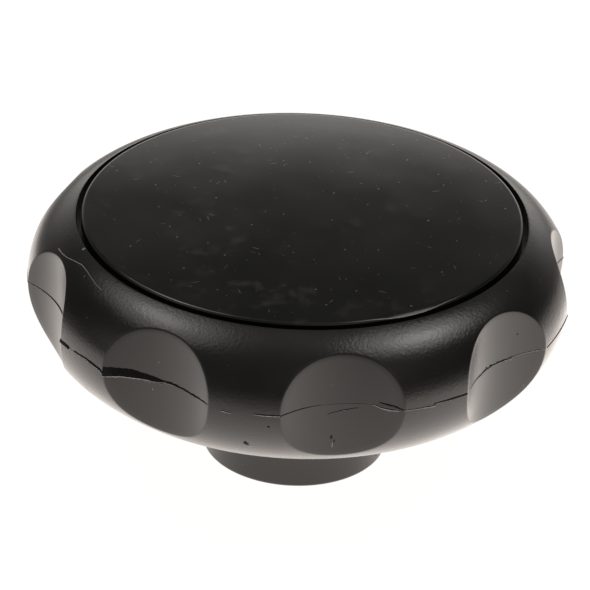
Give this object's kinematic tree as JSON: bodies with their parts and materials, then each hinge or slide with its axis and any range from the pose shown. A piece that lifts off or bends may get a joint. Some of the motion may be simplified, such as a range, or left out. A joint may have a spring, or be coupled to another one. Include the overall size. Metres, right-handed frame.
{
  "type": "scalloped hand knob",
  "caption": "Round black hand knob with finger scallops around its rim, a pressed-in cover cap on top and a boss below that holds a threaded brass bush.",
  "frame": {"origin": "centre of the foot of the boss, on the axis of the threaded hole", "axes": "+Z along the axis from the boss up to the cover cap; one scallop faces -Y"},
  "size_m": [0.0702, 0.0694, 0.0347],
  "materials": {
    "body_moulding": "finely grained black moulding, smooth in the scallops and on the boss",
    "cap_moulding": "satin black with fine scratches",
    "bush_brass": "turned brass"
  },
  "bodies": {
    "root": {"knob_body": "body_moulding", "cover_cap": "cap_moulding", "threaded_bush": "bush_brass"}
  },
  "joints": []
}
